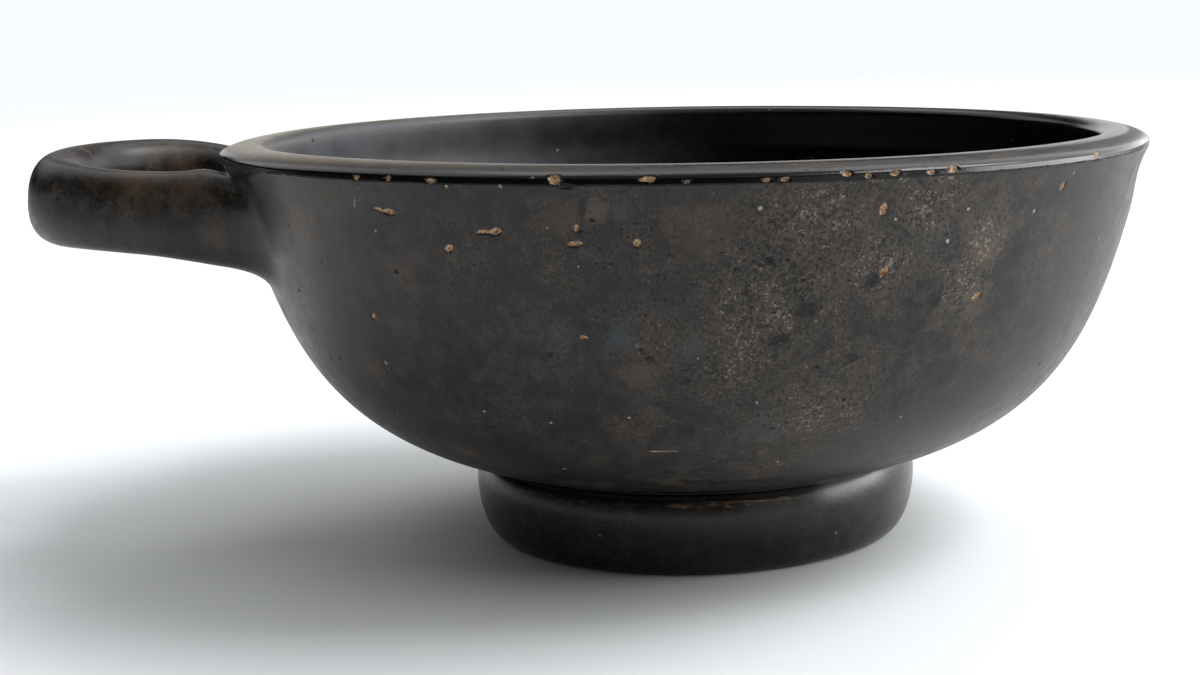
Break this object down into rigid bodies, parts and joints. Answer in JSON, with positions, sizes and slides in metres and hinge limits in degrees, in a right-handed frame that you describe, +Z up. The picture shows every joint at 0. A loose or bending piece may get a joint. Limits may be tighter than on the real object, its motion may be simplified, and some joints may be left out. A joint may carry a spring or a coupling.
{
  "type": "one-handled bowl",
  "caption": "Round fired-clay bowl with a flaring wall, broad rounded lip, ring foot and one horizontal loop handle just under the lip.",
  "frame": {"origin": "middle of the whole outline seen from above, on the plane that the foot rests on; the bowl's own axis stands 14.5 mm from it towards +X", "axes": "+Z up along the bowl's axis, -X towards the handle"},
  "size_m": [0.159, 0.13, 0.058],
  "materials": {
    "black_glaze": "worn semi-gloss black glaze with brown mottling, pits and small chips down to tan clay"
  },
  "bodies": {
    "root": {"bowl": "black_glaze"}
  },
  "joints": []
}
